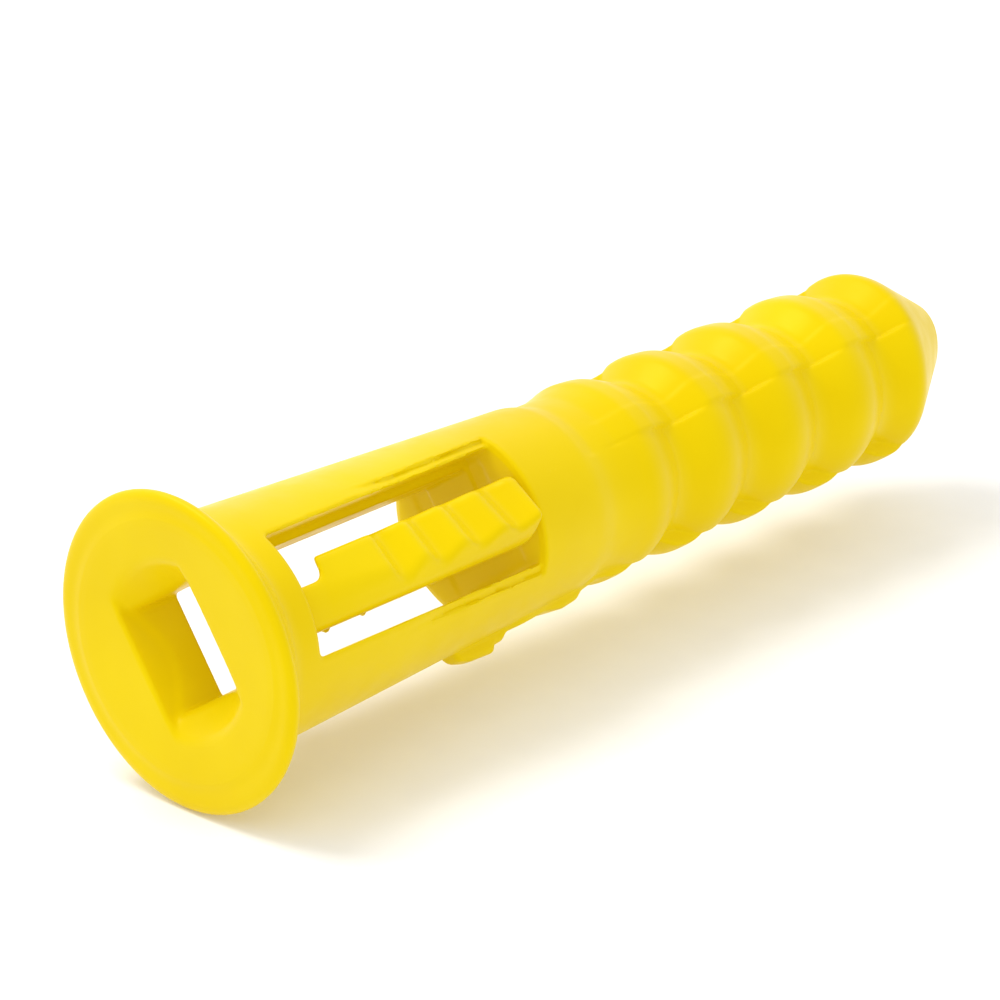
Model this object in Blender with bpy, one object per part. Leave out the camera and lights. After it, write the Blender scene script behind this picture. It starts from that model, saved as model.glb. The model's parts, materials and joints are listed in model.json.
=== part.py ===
"""Flanged expansion wall plug, moulded in one piece of yellow plastic.

Frame: the origin is the centre of the flange's bearing face, where it meets the wall.
+Y runs along the plug into the wall, and +Z is up. Metres.

Two opposite windows open a slot right through the collar, with a serrated locking wing in each.
Behind the windows the plug is split into four ribbed expansion legs. Angles go round the +Y axis
from +X towards +Z.
"""
import math

import bmesh
import bpy
from mathutils import Vector

# Driving dimensions. Most are fractions of the collar's diameter.
COLLAR_D = 0.0052                   # a plug for a 5 mm hole
FLANGE_T = 0.12 * COLLAR_D          # flange, front rim to bearing face
FLANGE_R = 0.669 * COLLAR_D         # mean; the rim is a little oval and sits to one side
FLANGE_OVAL = 0.018 * COLLAR_D
FLANGE_SHIFT = 0.02 * COLLAR_D
COLLAR_R = 0.5 * COLLAR_D
TAPER = 0.0485                      # loss of radius per unit of length behind the collar
SOCKET_HALF = 0.2275 * COLLAR_D     # half the square screw socket's side
BORE_HALF = 0.12 * COLLAR_D         # half the narrower screw channel's side, behind the windows
COUNTERSINK_R = 0.35 * COLLAR_D
COUNTERSINK_DEPTH = 0.12 * COLLAR_D
DISH = 0.035 * COLLAR_D             # how far the flange's face is hollowed

WINDOW_HALF = 0.263 * COLLAR_D
WINDOW_START = 0.325 * COLLAR_D     # stations are measured from the flange's front rim
WINDOW_END = 1.69 * COLLAR_D
SLEEVE_END = 1.83 * COLLAR_D

HINGE_R = 0.4 * COLLAR_D            # how far the living hinges are from the axis
HINGE_GAP = 0.12e-3                 # clearance at the living hinges
SLIT = 0.1e-3                       # clearance between neighbouring legs

FRONT_TIP = 1.645 * COLLAR_D        # the front wing hangs on the collar and points backwards
FRONT_NECK_END = 0.49 * COLLAR_D
FRONT_EDGE = 0.115 * COLLAR_D       # tangential places of the wing's two long sides
FRONT_FLANK = -0.16 * COLLAR_D
BACK_TIP = 0.62 * COLLAR_D          # the back wing hangs on the sleeve and points forwards
BACK_EDGE = 0.125 * COLLAR_D
BACK_FLANK = -0.055 * COLLAR_D
SERRATION_PITCH = 0.208 * COLLAR_D
SERRATION_FIRST = 0.909 * COLLAR_D
SERRATION_DEPTH = 0.03 * COLLAR_D

# A stepped fin under the plug stops it from turning, as (station, outer radius) in collar diameters.
FIN_OUTLINE = [(1.30, 0.44), (1.335, 0.513), (1.49, 0.516), (1.505, 0.500),
               (1.56, 0.497), (1.575, 0.482), (1.61, 0.480), (1.66, 0.42)]
FIN_INNER = 0.36 * COLLAR_D
FIN_HALF = 0.05 * COLLAR_D

LEG_START = SLEEVE_END + HINGE_GAP
TIP = 4.62 * COLLAR_D
TIP_R = 0.15 * COLLAR_D
CONE_START = 4.25 * COLLAR_D
CONE_R = 0.385 * COLLAR_D
TIP_BORE_HALF = 0.05 * COLLAR_D
RIB_PITCH = 0.4495 * COLLAR_D
RIB_FIRST = 2.367 * COLLAR_D        # front shoulder of the first rib on the first leg
RIB_COUNT = 5
GROOVE_R = 0.385 * COLLAR_D         # the shallow groove in front of the first rib
# One rib, as (distance behind its front shoulder, radius). Its steep front is the barb.
RIB_SHAPE = [(-0.115, 0.335), (-0.02, 0.385), (0.0, 0.403), (0.035, 0.409),
             (0.20, 0.386), (0.245, 0.374), (0.30, 0.345), (0.3345, 0.335)]
# The ribs of each leg sit a little off its neighbour's, like an interrupted thread.
RIB_OFFSET = [0.0, -0.15 * COLLAR_D, -0.225 * COLLAR_D, 0.05 * COLLAR_D]

FACING = math.radians(35.16)        # the front window's direction
FIN_TURN = math.radians(-96.5)      # from the front window to the fin
SHIFT_TURN = math.radians(17.0)     # from the front window to the flange's nearest rim
SLIT_TURN = math.radians(9.0)       # the slits are turned this far past the windows
QUARTER = math.radians(90.0)
ROUND_STEPS = 72
LEG_STEPS = 14
SHARP = math.radians(25.0)
CUT_MARGIN = 0.5e-3                 # how far the cutters reach past the body

LEG_NAMES = ["expansion_leg_1", "expansion_leg_2", "expansion_leg_3", "expansion_leg_4"]


def place(station, angle, out, across=0.0):
    """A point at a station along the plug, out along an angle and across it."""
    return Vector((out * math.cos(angle) - across * math.sin(angle),
                   station - FLANGE_T,
                   out * math.sin(angle) + across * math.cos(angle)))


def body_radius(station):
    """Outer radius of the collar, the sleeve and the plain zone behind it."""
    return COLLAR_R - TAPER * max(0.0, station - 0.3 * COLLAR_D)


def interpolate(points, x):
    """Value at x of the broken line through (x, value) points."""
    if x <= points[0][0]:
        return points[0][1]
    for (x0, v0), (x1, v1) in zip(points, points[1:]):
        if x <= x1:
            return v0 + (v1 - v0) * (x - x0) / (x1 - x0)
    return points[-1][1]


def yellow_plastic(name):
    material = bpy.data.materials.new(name)
    material.use_nodes = True
    shader = material.node_tree.nodes["Principled BSDF"]
    shader.inputs["Base Color"].default_value = (0.84, 0.62, 0.01, 1.0)
    shader.inputs["Roughness"].default_value = 0.38
    shader.inputs["Metallic"].default_value = 0.0
    return material


def add_object(name, bm, origin=None):
    """Turn a bmesh into a smooth-shaded object whose origin is at the given point."""
    origin = origin or Vector((0.0, 0.0, 0.0))
    bmesh.ops.translate(bm, verts=bm.verts, vec=-origin)
    bmesh.ops.recalc_face_normals(bm, faces=bm.faces)
    mesh = bpy.data.meshes.new(name)
    bm.to_mesh(mesh)
    bm.free()
    mesh.shade_smooth()
    mesh.set_sharp_from_angle(angle=SHARP)
    item = bpy.data.objects.new(name, mesh)
    item.location = origin
    mesh.materials.append(yellow_plastic(name + "_plastic"))
    bpy.context.scene.collection.objects.link(item)
    return item


def loft(sections):
    """A closed solid through cross-sections that all have the same number of points."""
    bm = bmesh.new()
    rings = [[bm.verts.new(point) for point in section] for section in sections]
    count = len(rings[0])
    for near, far in zip(rings, rings[1:]):
        for i in range(count):
            j = (i + 1) % count
            bm.faces.new((near[i], near[j], far[j], far[i]))
    bm.faces.new(list(reversed(rings[0])))
    bm.faces.new(rings[-1])
    bmesh.ops.triangulate(bm, faces=[f for f in bm.faces if len(f.verts) > 4])
    return bm


def combine(target, operation, name, sections):
    """Join a solid to the target or cut it away. The solid itself stays hidden."""
    tool = add_object(name, loft(sections))
    tool.hide_render = True
    tool.display_type = "WIRE"
    modifier = target.modifiers.new(name, "BOOLEAN")
    modifier.operation = operation
    modifier.solver = "EXACT"
    modifier.object = tool


def circle(station, radius):
    return [place(station, i * 2.0 * math.pi / ROUND_STEPS, radius) for i in range(ROUND_STEPS)]


def rim_ring(station, share):
    """A ring at a share of the flange's rim, longer across the windows than through them."""
    points = []
    for i in range(ROUND_STEPS):
        angle = i * 2.0 * math.pi / ROUND_STEPS
        turn = angle - FACING
        rim = FLANGE_R - FLANGE_OVAL * math.cos(2.0 * turn) - FLANGE_SHIFT * math.cos(turn - SHIFT_TURN)
        points.append(place(station, angle, share * rim))
    return points


def square(station, half):
    corner_out = half * math.sqrt(2.0)
    return [place(station, FACING + QUARTER * (k + 0.5), corner_out) for k in range(4)]


def box(start, end, angle, inside, outside, half):
    """Sections of a box between two stations and two distances out along an angle."""
    corners = [(inside, -half), (inside, half), (outside, half), (outside, -half)]
    return [[place(station, angle, out, across) for out, across in corners] for station in (start, end)]


def fin_sections():
    """The fin's cross-sections, a little narrower at its crest."""
    crest = 0.8 * FIN_HALF
    sections = []
    for station, radius in FIN_OUTLINE:
        out = radius * COLLAR_D
        corners = [(FIN_INNER, -FIN_HALF), (FIN_INNER, FIN_HALF), (out, crest), (out, -crest)]
        sections.append([place(station * COLLAR_D, FACING + FIN_TURN, out, across)
                         for out, across in corners])
    return sections


def plug_body():
    """Flange, collar and sleeve with their fin, socket, screw channel and two windows."""
    rings = [circle(COUNTERSINK_DEPTH, SOCKET_HALF), circle(DISH, COUNTERSINK_R)]
    for station, share in ((0.25 * DISH, 0.86), (0.0, 0.91), (0.12 * FLANGE_T, 0.96),
                           (0.4 * FLANGE_T, 1.0), (0.68 * FLANGE_T, 1.0),
                           (0.92 * FLANGE_T, 0.975), (FLANGE_T, 0.945)):
        rings.append(rim_ring(station, share))
    for station, radius in ((FLANGE_T, 1.07 * COLLAR_R), (1.2 * FLANGE_T, 1.025 * COLLAR_R),
                            (1.6 * FLANGE_T, COLLAR_R), (2.5 * FLANGE_T, COLLAR_R),
                            (SLEEVE_END, body_radius(SLEEVE_END))):
        rings.append(circle(station, radius))
    body = add_object("plug_body", loft(rings))

    combine(body, "UNION", "fin", fin_sections())
    combine(body, "DIFFERENCE", "socket", [square(-CUT_MARGIN, SOCKET_HALF),
                                           square(WINDOW_END, SOCKET_HALF)])
    combine(body, "DIFFERENCE", "channel", [square(WINDOW_END - CUT_MARGIN, BORE_HALF),
                                            square(SLEEVE_END + CUT_MARGIN, BORE_HALF)])
    for name, angle in (("front_window", FACING), ("back_window", FACING + 2.0 * QUARTER)):
        combine(body, "DIFFERENCE", name,
                box(WINDOW_START, WINDOW_END, angle, 0.9 * SOCKET_HALF, COLLAR_R + CUT_MARGIN,
                    WINDOW_HALF))


def serration(station):
    """Depth of the scallops across a wing's face, deepest in each valley."""
    first = SERRATION_FIRST - 0.5 * SERRATION_PITCH
    if not first < station < FRONT_TIP - 0.02 * COLLAR_D:
        return 0.0
    phase = 2.0 * math.pi * (station - SERRATION_FIRST) / SERRATION_PITCH
    return SERRATION_DEPTH * 0.5 * (1.0 + math.cos(phase))


def front_section(station):
    """The front wing's section: a ridge with a broad serrated face and a steep flank."""
    rise = max(0.0, station - FRONT_NECK_END) / (FRONT_TIP - FRONT_NECK_END)
    edge = 0.02 * COLLAR_D if station < FRONT_NECK_END else FRONT_EDGE
    apex = (-0.05 - 0.045 * rise) * COLLAR_D
    apex_out = (0.43 + 0.10 * rise) * COLLAR_D
    edge_out = (0.405 + 0.01 * rise) * COLLAR_D
    flank_out = (0.385 + 0.02 * rise) * COLLAR_D
    under = (0.26 + 0.05 * rise) * COLLAR_D
    depth = serration(station)
    return [(FRONT_FLANK, under), (edge, under), (edge, edge_out - depth),
            (apex, apex_out - 0.6 * depth), (FRONT_FLANK, flank_out)]


def back_section(station):
    """The back wing's section: a low serrated bar that rises a little towards its free end."""
    rise = (WINDOW_END - station) / (WINDOW_END - BACK_TIP)
    middle = 0.5 * (BACK_EDGE + BACK_FLANK)
    crest = (0.44 + 0.05 * rise) * COLLAR_D
    side = crest - 0.025 * COLLAR_D
    under = (0.28 + 0.03 * rise) * COLLAR_D
    depth = serration(station)
    return [(BACK_FLANK, under), (BACK_EDGE, under), (BACK_EDGE, side - depth),
            (middle, crest - depth), (BACK_FLANK, side - depth)]


def wing(name, angle, section, stations, hinge_station):
    """One locking wing, with its origin on its living hinge."""
    bm = loft([[place(station, angle, out, across) for across, out in section(station)]
               for station in stations])
    add_object(name, bm, place(hinge_station, angle, HINGE_R))


def wings():
    """The two wings, each with even steps along its serrated length."""
    steps = 32
    plain_end = 0.8 * COLLAR_D
    root = WINDOW_START + HINGE_GAP
    serrated = [plain_end + (FRONT_TIP - plain_end) * i / steps for i in range(steps + 1)]
    stations = [root, FRONT_NECK_END - 1e-5, FRONT_NECK_END + 1e-5, 0.7 * COLLAR_D] + serrated
    wing("locking_wing_front", FACING, front_section, stations, root)

    root = WINDOW_END - HINGE_GAP
    stations = [BACK_TIP, 0.7 * COLLAR_D] + serrated[:-1] + [root]
    wing("locking_wing_back", FACING + 2.0 * QUARTER, back_section, stations, root)


def rib_points(offset):
    """The ribbed outline of one leg, as (station, radius), without the tip's cone."""
    points = [(LEG_START, body_radius(LEG_START)), (2.1 * COLLAR_D, body_radius(2.1 * COLLAR_D))]
    for rib in range(RIB_COUNT + 1):
        shoulder = RIB_FIRST + offset + rib * RIB_PITCH
        for behind, radius in RIB_SHAPE:
            station = shoulder + behind * COLLAR_D
            if station > points[-1][0] + 1e-5:
                points.append((station, radius * COLLAR_D))
    # The first rib follows straight on from the plain zone.
    groove_end = RIB_FIRST + offset + 0.2 * COLLAR_D
    return [(s, max(r, GROOVE_R) if s < groove_end else r) for s, r in points]


def leg_outline(offset):
    """Stations and radii of one leg from its hinge to its tip, cut by the tip's cone."""
    def cone(station):
        return TIP_R + (CONE_R - TIP_R) * (TIP - station) / (TIP - CONE_START)

    ribs = rib_points(offset)
    stations = [s for s, _ in ribs if s < TIP - 1e-5]
    stations += [CONE_START, 0.5 * (CONE_START + TIP), TIP]
    stations = sorted(set(round(s, 8) for s in stations))
    return [(s, min(interpolate(ribs, s), cone(s))) for s in stations]


def leg_section(station, radius, first, last):
    """Cross-section of one leg between two slits, round outside and square inside."""
    start, end = FACING + first, FACING + last
    half = BORE_HALF + (TIP_BORE_HALF - BORE_HALF) * (station - LEG_START) / (TIP - LEG_START)
    lean = math.asin(0.5 * SLIT / radius)
    points = []
    for i in range(LEG_STEPS + 1):
        angle = start + lean + (end - start - 2.0 * lean) * i / LEG_STEPS
        points.append(place(station, angle, radius))
    # The square channel's sides face the windows; the slits cross two of them.
    side = FACING + first - SLIT_TURN
    inner_start = (0.5 * SLIT + math.sin(SLIT_TURN) * half) / math.cos(SLIT_TURN)
    inner_end = (0.5 * SLIT - math.sin(SLIT_TURN) * half) / math.cos(SLIT_TURN)
    points.append(place(station, side, inner_end, half))
    points.append(place(station, side, half, half))
    points.append(place(station, side, half, inner_start))
    return points


def leg(name, number):
    """One expansion leg, with its origin on its living hinge at the sleeve ring."""
    first = SLIT_TURN + QUARTER * number
    last = first + QUARTER
    outline = leg_outline(RIB_OFFSET[number])
    bm = loft([leg_section(station, radius, first, last) for station, radius in outline])
    add_object(name, bm, place(LEG_START, FACING + 0.5 * (first + last), HINGE_R))


for leftover in list(bpy.data.objects):
    bpy.data.objects.remove(leftover, do_unlink=True)

plug_body()
wings()
for k in range(4):
    leg(LEG_NAMES[k], k)
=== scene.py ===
"""Looks of the flanged expansion wall plug: one moulding in yellow plastic.

The whole moulding is first described as a distance field, with soft unions and cuts, so that every
edge gets the small radius that a moulded part has. One fine mesh is taken from it and cut at the
living hinges, so the pieces meet without a seam at rest.

Shapes are in the plug's own frame and unit. The unit is the collar's diameter. A point is given by
its station (distance behind the flange's rim) and by its place in the cross-section, along the
front window's direction (out) and a quarter turn from it (across).
"""
import json
import math

import bmesh
import bpy
import numpy as np
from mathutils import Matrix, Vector


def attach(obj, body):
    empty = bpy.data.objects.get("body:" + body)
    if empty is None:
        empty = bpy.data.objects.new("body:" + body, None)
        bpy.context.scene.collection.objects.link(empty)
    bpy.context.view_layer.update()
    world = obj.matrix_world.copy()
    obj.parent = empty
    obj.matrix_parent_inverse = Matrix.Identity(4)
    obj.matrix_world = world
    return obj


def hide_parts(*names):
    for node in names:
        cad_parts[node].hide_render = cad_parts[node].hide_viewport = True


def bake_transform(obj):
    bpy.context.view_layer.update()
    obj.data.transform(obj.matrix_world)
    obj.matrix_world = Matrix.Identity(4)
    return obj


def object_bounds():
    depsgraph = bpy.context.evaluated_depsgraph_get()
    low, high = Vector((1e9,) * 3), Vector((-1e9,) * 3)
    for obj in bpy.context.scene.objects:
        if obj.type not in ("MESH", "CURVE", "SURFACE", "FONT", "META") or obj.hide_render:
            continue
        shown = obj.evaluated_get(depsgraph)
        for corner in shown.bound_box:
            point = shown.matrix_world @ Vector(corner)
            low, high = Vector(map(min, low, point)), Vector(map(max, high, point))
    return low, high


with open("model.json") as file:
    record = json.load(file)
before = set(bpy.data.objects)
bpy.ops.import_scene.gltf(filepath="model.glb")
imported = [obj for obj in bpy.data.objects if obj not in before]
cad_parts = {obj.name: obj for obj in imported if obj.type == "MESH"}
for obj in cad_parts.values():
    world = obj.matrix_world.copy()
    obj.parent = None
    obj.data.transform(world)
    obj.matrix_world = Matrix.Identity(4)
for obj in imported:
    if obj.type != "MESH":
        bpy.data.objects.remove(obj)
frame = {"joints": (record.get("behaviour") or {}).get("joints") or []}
CAD_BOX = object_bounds()

# Sizes that come from the frame, in metres.
LENGTH_UNITS = 4.62
UNIT = (CAD_BOX[1][1] - CAD_BOX[0][1]) / LENGTH_UNITS
FRONT = CAD_BOX[0][1]
JOINTS = {joint["name"]: joint for joint in frame["joints"]}
FRONT_WING, BACK_WING = "locking_wing_front", "locking_wing_back"
LEGS = ["expansion_leg_1", "expansion_leg_2", "expansion_leg_3", "expansion_leg_4"]


def joint_angle(name):
    """Direction of a joint's place round the plug's axis."""
    x, _, z = JOINTS[name + "_flex"]["pos_m"]
    return math.atan2(z, x)


def joint_station(name):
    """How far behind the rim a joint is, in units."""
    return (JOINTS[name + "_flex"]["pos_m"][1] - FRONT) / UNIT


FACING = joint_angle(FRONT_WING)
SLIT = joint_angle(LEGS[0]) - math.pi / 4
FRONT_ROOT = joint_station(FRONT_WING)
BACK_ROOT = joint_station(BACK_WING)
LEG_ROOT = joint_station(LEGS[0])

# Shape, in units of the collar's diameter.
TIP = LENGTH_UNITS
FLANGE_R = 0.669
FLANGE_OVAL = 0.018
FLANGE_SHIFT = 0.02
SHIFT_TURN = math.radians(17.0)
FLANGE_T = 0.12
COLLAR_R = 0.5
SOCKET = 0.2275
BORE = 0.12
TIP_BORE = 0.05
COUNTERSINK_R = 0.35
COUNTERSINK_START = 0.03
WINDOW = (0.325, 1.70)
WINDOW_HALF = 0.263
LEDGE_WIDTH = 0.038
LEDGE_DEPTH = 0.018
FRONT_TIP = 1.645
BACK_TIP = 0.62
SERRATIONS = (0.909, 0.208)
FIN_TURN = math.radians(-96.5)
FIN_MIDDLE, FIN_REACH = 1.75, 0.47
RIB_PITCH = 0.4495
RIB_FIRST = 2.367
RIB_OFFSETS = [0.0, -0.08, -0.10, 0.0]
WING_DEPTH = 0.235
WING_HALF = 0.24
QUICK_STEP, FINE_STEP = 0.00013, 0.000055


def soft_max(a, b, k):
    """The larger of two fields, which cuts one shape by another with an edge radius of about k."""
    h = np.maximum(k - np.abs(a - b), 0.0)
    return np.maximum(a, b) + h * h / (4.0 * k)


def soft_min(a, b, k):
    """The smaller of two fields, which joins two shapes with a fillet of about k."""
    return -soft_max(-a, -b, k)


def ramp(x, low, high):
    """0 below low, 1 above high and smooth between them."""
    t = np.clip((x - low) / (high - low), 0.0, 1.0)
    return t * t * (3.0 - 2.0 * t)


def ramp_line(x, low, high):
    """0 below low, 1 above high and straight between them."""
    return np.clip((x - low) / (high - low), 0.0, 1.0)


def smooth_table(points, sigma, low=-1.0, high=6.0, count=3500):
    """A broken line through (x, y) points, rounded off over about sigma, as a table for np.interp."""
    x = np.linspace(low, high, count)
    y = np.interp(x, [p[0] for p in points], [p[1] for p in points])
    reach = int(4.0 * sigma / (x[1] - x[0])) + 1
    weights = np.exp(-0.5 * (np.arange(-reach, reach + 1) * (x[1] - x[0]) / sigma) ** 2)
    padded = np.concatenate([np.full(reach, y[0]), y, np.full(reach, y[-1])])
    return x, np.convolve(padded, weights / weights.sum(), mode="valid")


# One rib of each leg, as (distance behind its front shoulder, radius).
RIBS = [[(-0.07, 0.335), (0.03, 0.413), (0.06, 0.422), (0.15, 0.415), (0.24, 0.380), (0.33, 0.335)],
        [(-0.155, 0.325), (-0.01, 0.395), (0.13, 0.405), (0.24, 0.325)],
        [(-0.13, 0.345), (-0.055, 0.405), (0.0, 0.426), (0.09, 0.425), (0.14, 0.41), (0.22, 0.345)],
        [(-0.12, 0.345), (-0.01, 0.405), (0.05, 0.42), (0.11, 0.413), (0.18, 0.385), (0.26, 0.34)]]
RIB_ROUNDING = [0.012, 0.022, 0.016, 0.022]


def rib_table(shape, offset, sigma):
    """The ribbed outline of one leg along the plug."""
    points = [(-1.0, COLLAR_R), (0.3, COLLAR_R), (2.08, 0.4137)]
    for rib in range(-1, 6):
        for behind, radius in shape:
            station = RIB_FIRST + offset + rib * RIB_PITCH + behind
            if station > points[-1][0] + 0.02:
                low = 0.392 if station < 2.33 + offset else 0.0
                points.append((station, max(radius, low)))
    return smooth_table(points, sigma)


FIN = smooth_table([(1.32, 0.40), (1.335, 0.46), (1.36, 0.49), (1.42, 0.507), (1.555, 0.511),
                    (1.565, 0.485), (1.62, 0.480), (1.65, 0.452), (1.70, 0.449), (1.86, 0.437),
                    (1.96, 0.455), (2.05, 0.444), (2.09, 0.419), (2.20, 0.40)], 0.006)
RIB_TABLES = [rib_table(*leg) for leg in zip(RIBS, RIB_OFFSETS, RIB_ROUNDING)]


def outer_radius(station, angle):
    """Radius of the collar, rails, plain zone and ribs. The angle is from the first slit, 0 to 2 pi."""
    turn = angle / (0.5 * math.pi)
    radii = [np.interp(station, *table) for table in RIB_TABLES]
    blend = 0.018
    result = radii[0]
    for k in range(1, 4):
        result = result + (radii[k] - radii[k - 1]) * ramp(turn, k - blend, k + blend)
    result = result + (radii[3] - radii[0]) * (1.0 - ramp(turn, -blend, blend))
    result = result + (radii[0] - radii[3]) * ramp(turn, 4.0 - blend, 4.0 + blend)
    # A low band along the first leg, beside its slit.
    band = ramp(turn, 0.0, 0.03) * (1.0 - ramp(turn, 0.19, 0.23))
    return result + 0.004 * band * ramp(station, 2.2, 2.3)


def scallop(station):
    """Depth of the broad scallops across a wing, from 0 on a crest to 1 in a valley."""
    phase = 2.0 * math.pi * (station - SERRATIONS[0]) / SERRATIONS[1]
    serrated = ramp(station, 0.78, 0.88) * (1.0 - ramp(station, 1.58, 1.64))
    return (0.5 + 0.5 * np.cos(phase)) * serrated


def slope(x, y, start, end):
    """Distance above the line through two points, which runs from low x to high x."""
    run, climb = end[0] - start[0], end[1] - start[1]
    return ((y - start[1]) * run - (x - start[0]) * climb) / math.hypot(run, climb)


def front_wing(station, out, across):
    """The front wing: a serrated ridge on a narrow neck, which rises towards its free end."""
    rise = np.clip((station - 0.49) / (FRONT_TIP - 0.49), 0.0, 1.0)
    low_face = slope(across, out, (-0.05, 0.43), (0.115, 0.405)) + 0.042 * scallop(station)
    high_face = slope(across, out, (-0.095, 0.53), (0.115, 0.415)) + 0.042 * scallop(station)
    low_flank = slope(across, out, (-0.165, 0.385), (-0.05, 0.43))
    high_flank = slope(across, out, (-0.165, 0.405), (-0.095, 0.53))
    face = low_face + (high_face - low_face) * rise
    flank = low_flank + (high_flank - low_flank) * rise
    shape = soft_max(face, flank, 0.03)
    shape = soft_max(shape, soft_max(across - 0.115, -0.165 - across, 0.02), 0.03)
    shape = soft_max(shape, 0.255 + 0.05 * rise - out, 0.02)
    # The free end slants. A notch, whose rear wall slants too, makes the neck narrower.
    shape = soft_max(shape, station - FRONT_TIP - 0.15 * (across + 0.05), 0.02)
    notch = soft_max(station - 0.50 - 0.85 * (0.42 - out), 0.02 - across, 0.05)
    shape = soft_max(shape, -notch, 0.02)
    return np.maximum(shape, WINDOW[0] - 0.08 - station)


def back_wing(station, out, across):
    """The back wing: a low serrated bar on the sleeve, with three small nubs along its lower edge."""
    rise = np.clip((WINDOW[1] - station) / (WINDOW[1] - BACK_TIP), 0.0, 1.0)
    crest = 0.44 + 0.05 * rise
    middle = 0.035
    nubs = sum(np.exp(-((station - (1.10 + 0.215 * i)) / 0.018) ** 2) for i in range(3))
    edge = 0.125 + 0.028 * nubs * ramp(out, 0.36, 0.40)
    top = out - crest + 0.28 * np.abs(across - middle) + 0.028 * scallop(station)
    shape = soft_max(top, soft_max(across - edge, -0.055 - across, 0.02), 0.03)
    shape = soft_max(shape, 0.28 + 0.03 * rise - out, 0.02)
    shape = soft_max(shape, BACK_TIP - station, 0.03)
    return np.maximum(shape, station - WINDOW[1] - 0.08)


def flange_field(station, radius, turn):
    """A disc with a hollow face and a chamfered back. Its rim is a little oval and off centre."""
    rounding = 0.055
    rim = FLANGE_R - FLANGE_OVAL * np.cos(2.0 * turn) - FLANGE_SHIFT * np.cos(turn - SHIFT_TURN)
    q1 = np.abs(station - 0.5 * FLANGE_T) - 0.5 * FLANGE_T + rounding
    q2 = radius - rim + rounding
    disc = np.minimum(np.maximum(q1, q2), 0.0) - rounding
    disc = disc + np.sqrt(np.maximum(q1, 0.0) ** 2 + np.maximum(q2, 0.0) ** 2)
    disc = soft_max(disc, (radius - rim + 1.1 * (station - 0.045)) * 0.67, 0.03)
    hollow = 0.035 * np.clip(1.0 - (radius / 0.62) ** 2, 0.0, 1.0) - station
    return soft_max(disc, hollow, 0.02)


def fin_field(station, out, across):
    """The stepped fin under the plug, which runs out into a low pad on the sleeve."""
    fin_out = out * math.cos(FIN_TURN) + across * math.sin(FIN_TURN)
    fin_across = across * math.cos(FIN_TURN) - out * math.sin(FIN_TURN)
    half = 0.05 + 0.05 * ramp(station, 1.60, 1.75)
    crest = fin_out - np.interp(station, *FIN)
    fin = soft_max(crest, np.abs(fin_across) - half, 0.03)
    return np.maximum(np.maximum(fin, 0.36 - fin_out), np.abs(station - FIN_MIDDLE) - FIN_REACH)


def bore_field(station, out, across):
    """The square screw socket, flared at its mouth on two sides, and the channel behind it."""
    square = soft_max(np.abs(out), np.abs(across), 0.03)
    socket = soft_max(square - SOCKET, station - WINDOW[1], 0.02)
    channel = square - BORE + (BORE - TIP_BORE) * ramp_line(station, LEG_ROOT, TIP)
    sink = (np.hypot(out, across) - COUNTERSINK_R + station - COUNTERSINK_START) / 1.4
    sink = soft_max(sink, np.abs(out) - SOCKET, 0.02)
    return np.minimum(soft_min(socket, sink, 0.03), channel)


def plug_field(points):
    """Field of the whole moulding at points in metres: negative inside, about a distance in units."""
    station = (points[:, 1] - FRONT) / UNIT
    x, z = points[:, 0] / UNIT, points[:, 2] / UNIT
    radius = np.sqrt(x * x + z * z)
    angle = np.mod(np.arctan2(z, x) - SLIT, 2.0 * math.pi)
    out = x * math.cos(FACING) + z * math.sin(FACING)
    across = z * math.cos(FACING) - x * math.sin(FACING)

    # Collar to tip, on the flange.
    shaft = radius - outer_radius(station, angle)
    shaft = soft_max(shaft, 0.05 - station, 0.02)
    lag = 0.03 * np.cos(2.0 * (angle - 0.25 * math.pi))
    cone = (radius - 0.15 - (TIP - station + lag) * 0.65) * 0.84
    shaft = soft_max(shaft, cone, 0.035)
    shaft = soft_max(shaft, station - TIP, 0.03)
    shaft = soft_min(shaft, fin_field(station, out, across), 0.018)
    flange = flange_field(station, radius, np.arctan2(across, out))
    solid = soft_min(flange, shaft, 0.11)
    solid = soft_max(solid, -bore_field(station, out, across), 0.02)

    # The two windows. Below the middle they are as wide as the slot all the way through.
    side = np.abs(out)
    middle, half = 0.5 * (WINDOW[0] + WINDOW[1]), 0.5 * (WINDOW[1] - WINDOW[0])
    ends = np.abs(station - middle) - half
    depth = np.where(across > 0.0, 0.15 - side, -1.0)
    window = soft_max(np.maximum(ends, depth), np.abs(across) - WINDOW_HALF, 0.03)
    # A shallow ledge along each side, which starts part of the way along the window.
    skin = np.interp(station, [0.3, 1.7], [0.5, 0.432])
    floor = skin + 0.02 - (LEDGE_DEPTH + 0.02) * ramp(station, 0.7, 1.15) - radius
    ledge = np.maximum(np.maximum(ends, floor), np.abs(across) - WINDOW_HALF - LEDGE_WIDTH)
    ledge = np.maximum(ledge, 0.1 - side)
    solid = soft_max(solid, -window, 0.022)
    solid = soft_max(solid, -ledge, 0.014)
    solid = soft_min(solid, front_wing(station, out, across), 0.016)
    return soft_min(solid, back_wing(station, -out, -across), 0.016)


def field_grid(step):
    """The field on a regular grid round the plug, slab by slab."""
    low = np.array(CAD_BOX[0]) - 2.0 * step
    counts = np.ceil((np.array(CAD_BOX[1]) + 2.0 * step - low) / step).astype(int) + 1
    xs, ys, zs = [low[i] + step * np.arange(counts[i]) for i in range(3)]
    grid = np.empty(counts, np.float32)
    for j, y in enumerate(ys):
        gx, gz = np.meshgrid(xs, zs, indexing="ij")
        points = np.stack([gx.ravel(), np.full(gx.size, y), gz.ravel()], axis=1)
        grid[:, j, :] = plug_field(points).reshape(gx.shape)
    return grid, low


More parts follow.
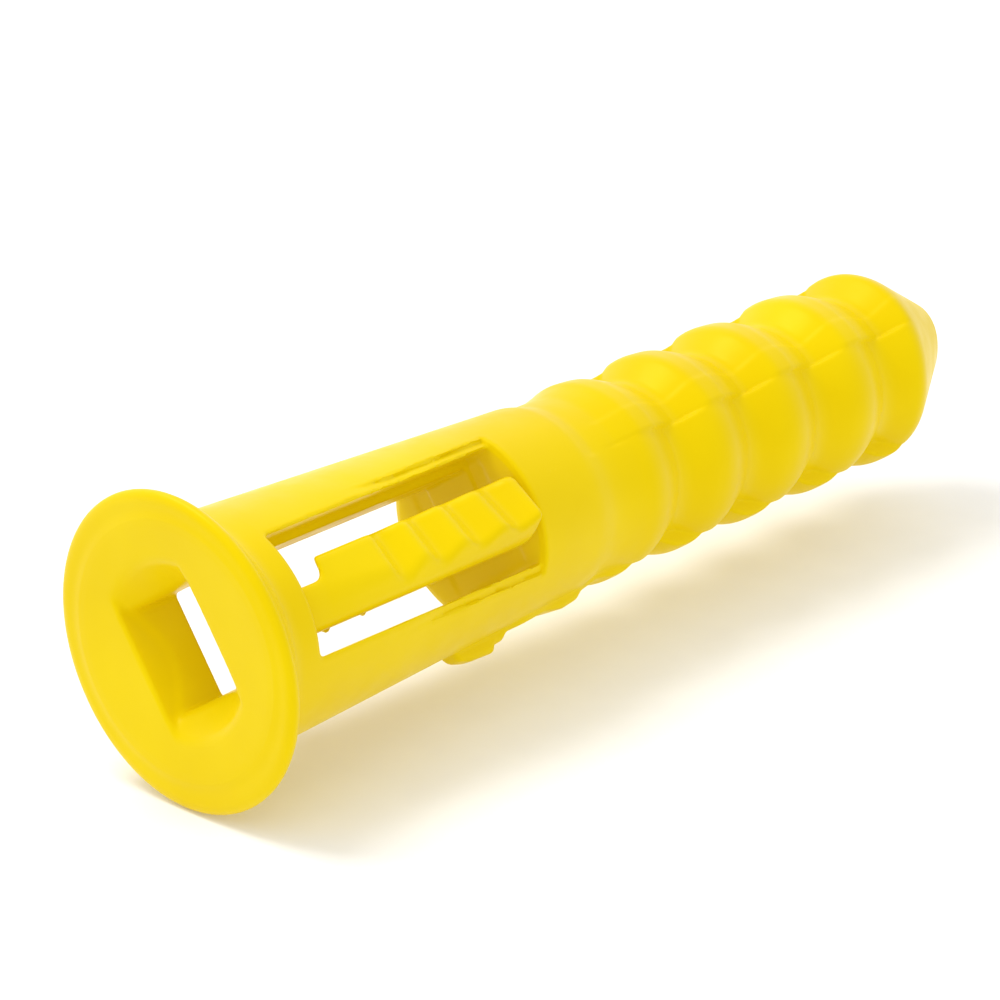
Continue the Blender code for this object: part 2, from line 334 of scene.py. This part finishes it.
def surface_net(grid, low, step):
    """Vertices and quads of the field's zero surface, one vertex in each cell that it crosses."""
    inside = grid < 0.0
    shape = np.array(grid.shape) - 1
    total = np.zeros(shape, np.int8)
    corners = [(i, j, k) for i in (0, 1) for j in (0, 1) for k in (0, 1)]
    for i, j, k in corners:
        total += inside[i:shape[0] + i, j:shape[1] + j, k:shape[2] + k]
    cells = np.argwhere((total > 0) & (total < 8))
    number = np.full(shape, -1, np.int32)
    number[tuple(cells.T)] = np.arange(len(cells))

    values = {c: grid[tuple((cells + c).T)] for c in corners}
    place = np.zeros((len(cells), 3))
    crossings = np.zeros(len(cells))
    for a in corners:
        for axis in range(3):
            if a[axis]:
                continue
            b = tuple(1 if i == axis else a[i] for i in range(3))
            va, vb = values[a], values[b]
            crossed = (va < 0.0) != (vb < 0.0)
            t = np.where(crossed, va / np.where(crossed, va - vb, 1.0), 0.0)
            spot = np.tile(np.array(a, float), (len(cells), 1))
            spot[:, axis] += t
            place += spot * crossed[:, None]
            crossings += crossed
    vertices = low + step * (cells + place / crossings[:, None])

    quads = []
    for axis in range(3):
        one, two = (axis + 1) % 3, (axis + 2) % 3
        ahead = np.take(inside, range(1, grid.shape[axis]), axis)
        behind = np.take(inside, range(grid.shape[axis] - 1), axis)
        edges = np.argwhere(ahead != behind)
        edges = edges[(edges[:, one] > 0) & (edges[:, two] > 0)]
        leaving = behind[tuple(edges.T)]
        around = []
        for back_one, back_two in ((1, 1), (0, 1), (0, 0), (1, 0)):
            cell = edges.copy()
            cell[:, one] -= back_one
            cell[:, two] -= back_two
            around.append(number[tuple(cell.T)])
        ring = np.stack(around, axis=1)
        quads.append(np.where(leaving[:, None], ring, ring[:, ::-1]))
    return vertices, np.concatenate(quads)


def settle(vertices, step, rounds=3):
    """Moves the vertices onto the zero surface along the field's gradient."""
    reach = 0.02 * step
    for _ in range(rounds):
        value = plug_field(vertices)
        gradient = np.zeros_like(vertices)
        for axis in range(3):
            offset = np.zeros(3)
            offset[axis] = reach
            gradient[:, axis] = plug_field(vertices + offset) - plug_field(vertices - offset)
        gradient /= 2.0 * reach
        size = np.maximum((gradient ** 2).sum(axis=1), 1e-9)
        move = -gradient * (value / size)[:, None]
        length = np.sqrt((move ** 2).sum(axis=1))
        move *= np.minimum(1.0, 0.35 * step / np.maximum(length, 1e-12))[:, None]
        vertices = vertices + move
    return np.clip(vertices, CAD_BOX[0], CAD_BOX[1])


def plug_mesh(step):
    """The whole moulding as one mesh."""
    grid, low = field_grid(step)
    vertices, quads = surface_net(grid, low, step)
    vertices = settle(vertices, step)
    mesh = bpy.data.meshes.new("moulding")
    mesh.from_pydata(vertices.tolist(), [], quads.tolist())
    return mesh


def direction(angle):
    """Unit vector across the plug, at an angle from +X towards +Z."""
    return Vector((math.cos(angle), 0.0, math.sin(angle)))


def slice_off(bm, point, normal):
    """Cuts the mesh by a plane, drops the side that the normal points to and caps the cut."""
    geometry = bm.verts[:] + bm.edges[:] + bm.faces[:]
    result = bmesh.ops.bisect_plane(bm, geom=geometry, dist=1e-9, plane_co=point, plane_no=normal,
                                    clear_outer=True)
    rim = [item for item in result["geom_cut"] if isinstance(item, bmesh.types.BMEdge)]
    bmesh.ops.triangle_fill(bm, use_beauty=True, use_dissolve=False, edges=rim, normal=normal)


def keep_region(bm, test):
    """Deletes every face whose middle fails the test."""
    doomed = [face for face in bm.faces if not test(face.calc_center_median())]
    bmesh.ops.delete(bm, geom=doomed, context="FACES")


def cap_holes(bm):
    """Closes the openings that a cut has left."""
    rims = [edge for edge in bm.edges if edge.is_boundary]
    bmesh.ops.triangle_fill(bm, use_beauty=True, use_dissolve=False, edges=rims)


# Stations between which each wing is a piece of its own. One end is the cut through its neck.
NECKS = {FRONT_WING: (FRONT_ROOT + 0.02, WINDOW[1] - 0.015),
         BACK_WING: (WINDOW[0] + 0.015, BACK_ROOT - 0.02)}


def wing_turn(wing):
    """How far round the plug a wing is from the front one."""
    return 0.0 if wing == FRONT_WING else math.pi


def within_slot(point, wing):
    """Whether a place is in the part of the cross-section that a wing takes up."""
    angle = FACING + wing_turn(wing)
    out = point.dot(direction(angle)) / UNIT
    across = point.dot(direction(angle + math.pi / 2)) / UNIT
    return out > WING_DEPTH and abs(across) < WING_HALF


def in_wing(point, wing):
    """Whether a place is in the window that a wing stands in, on the wing's side of its neck."""
    low, high = NECKS[wing]
    return within_slot(point, wing) and low < (point.y - FRONT) / UNIT < high


def beside_cut(point, wing, neck):
    """Whether a place in a wing's window is close to the cut through its neck."""
    return within_slot(point, wing) and abs(point.y - neck.y) < 0.05 * UNIT


def add_piece(name, bm):
    bmesh.ops.recalc_face_normals(bm, faces=bm.faces[:])
    mesh = bpy.data.meshes.new(name)
    bm.to_mesh(mesh)
    bm.free()
    mesh.shade_smooth()
    mesh.set_sharp_from_angle(angle=math.radians(55.0))
    piece = bpy.data.objects.new(name, mesh)
    bpy.context.scene.collection.objects.link(piece)
    mesh.materials.append(PLASTIC)
    return piece


def noise(nodes, links, source, scale, detail, roughness=0.5):
    texture = nodes.new("ShaderNodeTexNoise")
    texture.inputs["Scale"].default_value = scale
    texture.inputs["Detail"].default_value = detail
    texture.inputs["Roughness"].default_value = roughness
    links.new(source, texture.inputs["Vector"])
    return texture.outputs["Fac"]


def map_range(nodes, links, source, low, high, to_low, to_high):
    remap = nodes.new("ShaderNodeMapRange")
    remap.inputs["From Min"].default_value = low
    remap.inputs["From Max"].default_value = high
    remap.inputs["To Min"].default_value = to_low
    remap.inputs["To Max"].default_value = to_high
    links.new(source, remap.inputs["Value"])
    return remap.outputs["Result"]


def plastic_material():
    """Semi-gloss lemon-yellow plastic, with a painted glow in its own colour that stands in for light
    carried through its thin walls.
    """
    material = bpy.data.materials.new("yellow_moulded_plastic")
    material.use_nodes = True
    nodes, links = material.node_tree.nodes, material.node_tree.links
    shader = nodes["Principled BSDF"]
    coordinates = nodes.new("ShaderNodeTexCoord").outputs["Object"]

    # Broad clouds in the pigment, and finer mottling.
    clouds = noise(nodes, links, coordinates, 260.0, 3.0)
    colours = nodes.new("ShaderNodeValToRGB")
    colours.color_ramp.elements[0].position = 0.3
    colours.color_ramp.elements[0].color = (0.565, 0.405, 0.0006, 1.0)
    colours.color_ramp.elements[1].position = 0.7
    colours.color_ramp.elements[1].color = (0.605, 0.45, 0.001, 1.0)
    links.new(clouds, colours.inputs["Fac"])
    links.new(colours.outputs["Color"], shader.inputs["Base Color"])

    mottle = noise(nodes, links, coordinates, 1500.0, 4.0)
    links.new(map_range(nodes, links, mottle, 0.3, 0.7, 0.30, 0.42), shader.inputs["Roughness"])

    # The fine orange peel of a moulded skin, and faint waves from the mould.
    grain = noise(nodes, links, coordinates, 5200.0, 2.0)
    skin = nodes.new("ShaderNodeBump")
    skin.inputs["Strength"].default_value = 0.10
    skin.inputs["Distance"].default_value = 0.00002
    links.new(grain, skin.inputs["Height"])
    waves = noise(nodes, links, coordinates, 700.0, 1.0)
    swell = nodes.new("ShaderNodeBump")
    swell.inputs["Strength"].default_value = 0.25
    swell.inputs["Distance"].default_value = 0.00006
    links.new(waves, swell.inputs["Height"])
    links.new(skin.outputs["Normal"], swell.inputs["Normal"])
    links.new(swell.outputs["Normal"], shader.inputs["Normal"])

    # Painted glow: emission in the base colour stands in for light carried through the thin walls, and
    # keeps the insides bright.
    links.new(colours.outputs["Color"], shader.inputs["Emission Color"])
    shader.inputs["Emission Strength"].default_value = 0.32
    shader.inputs["IOR"].default_value = 1.5
    shader.inputs["Specular IOR Level"].default_value = 0.2
    shader.inputs["Specular Tint"].default_value = (1.0, 0.9, 0.12, 1.0)
    return material


def floor_material():
    """Matt white card with a faint tooth."""
    material = bpy.data.materials.new("white_card")
    material.use_nodes = True
    nodes, links = material.node_tree.nodes, material.node_tree.links
    shader = nodes["Principled BSDF"]
    coordinates = nodes.new("ShaderNodeTexCoord").outputs["Object"]
    tooth = noise(nodes, links, coordinates, 900.0, 3.0)
    colours = nodes.new("ShaderNodeValToRGB")
    colours.color_ramp.elements[0].color = (0.90, 0.90, 0.90, 1.0)
    colours.color_ramp.elements[1].color = (0.94, 0.94, 0.94, 1.0)
    links.new(tooth, colours.inputs["Fac"])
    links.new(colours.outputs["Color"], shader.inputs["Base Color"])
    shader.inputs["Roughness"].default_value = 0.9
    return material


PLASTIC = plastic_material()


def whole_moulding():
    """A bmesh of the whole plug, made at the fine step."""
    mesh = plug_mesh(FINE_STEP)
    bm = bmesh.new()
    bm.from_mesh(mesh)
    bpy.data.meshes.remove(mesh)
    return bm


def build_pieces():
    axis = Vector((0.0, 1.0, 0.0))
    cut_place = Vector((0.0, FRONT + LEG_ROOT * UNIT, 0.0))
    whole = whole_moulding()

    # Legs: the rear part, then a quarter of it for each.
    rear = whole.copy()
    slice_off(rear, cut_place, -axis)
    for number, name in enumerate(LEGS):
        bm = rear.copy()
        start = SLIT + number * math.pi / 2
        slice_off(bm, Vector(), -direction(start + math.pi / 2))
        slice_off(bm, Vector(), -direction(start))
        piece = add_piece(name + "_skin", bm)
        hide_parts(name)
        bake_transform(piece)
    rear.free()

    # Wings: each is cut off at its neck, the front one at the collar and the back one at the sleeve.
    slice_off(whole, cut_place, axis)
    for wing, station, forward in ((FRONT_WING, NECKS[FRONT_WING][0], 1.0),
                                   (BACK_WING, NECKS[BACK_WING][1], -1.0)):
        neck = Vector((0.0, FRONT + station * UNIT, 0.0))
        near = [face for face in whole.faces if beside_cut(face.calc_center_median(), wing, neck)]
        region = set(near)
        for face in near:
            region.update(face.edges)
            region.update(face.verts)
        bmesh.ops.bisect_plane(whole, geom=list(region), dist=1e-9, plane_co=neck, plane_no=axis)
        bm = whole.copy()
        keep_region(bm, lambda point: in_wing(point, wing))
        cap_holes(bm)
        piece = add_piece(wing + "_skin", bm)
        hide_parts(wing)
        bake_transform(piece)
    keep_region(whole, lambda point: not (in_wing(point, FRONT_WING) or in_wing(point, BACK_WING)))
    cap_holes(whole)
    body = add_piece("plug_body_skin", whole)
    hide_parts("plug_body")
    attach(body, "body")


def add_floor():
    size = 4.0
    level = CAD_BOX[0][2]
    mesh = bpy.data.meshes.new("floor")
    corners = [(-size, -size, level), (size, -size, level), (size, size, level), (-size, size, level)]
    mesh.from_pydata(corners, [], [(0, 1, 2, 3)])
    floor = bpy.data.objects.new("floor", mesh)
    bpy.context.scene.collection.objects.link(floor)
    mesh.materials.append(floor_material())


def add_area_light(name, place, size, power):
    """A square soft light. Its place and size are in plug lengths, and it is aimed at the middle."""
    length = LENGTH_UNITS * UNIT
    middle = Vector((0.0, 0.5 * (CAD_BOX[0][1] + CAD_BOX[1][1]), 0.0))
    light = bpy.data.lights.new(name, "AREA")
    light.shape = "SQUARE"
    light.size = size * length
    light.energy = power
    lamp = bpy.data.objects.new(name, light)
    lamp.location = middle + Vector(place) * length
    lamp.rotation_euler = (-Vector(place)).to_track_quat("-Z", "Y").to_euler()
    bpy.context.scene.collection.objects.link(lamp)


def add_lights():
    world = bpy.data.worlds.new("studio")
    world.use_nodes = True
    background = world.node_tree.nodes["Background"]
    background.inputs["Color"].default_value = (1.0, 1.0, 1.0, 1.0)
    background.inputs["Strength"].default_value = 1.0
    bpy.context.scene.world = world
    add_area_light("key", (-1.5, -1.0, 3.2), 1.8, 0.042)
    add_area_light("fill", (3.0, -2.5, 1.2), 3.0, 0.008)


def add_camera():
    data = bpy.data.cameras.new("camera")
    data.lens = 215.9
    data.sensor_width = 36.0
    data.clip_start = 0.005
    data.clip_end = 50.0
    camera = bpy.data.objects.new("camera", data)
    camera.location = Vector((15.641, -14.943 - FLANGE_T, 9.785)) * UNIT
    camera.rotation_euler = (math.radians(67.08), 0.0, math.radians(42.90))
    bpy.context.scene.collection.objects.link(camera)
    bpy.context.scene.camera = camera


build_pieces()
add_floor()
add_lights()
add_camera()
bpy.context.scene.view_settings.view_transform = "Standard"
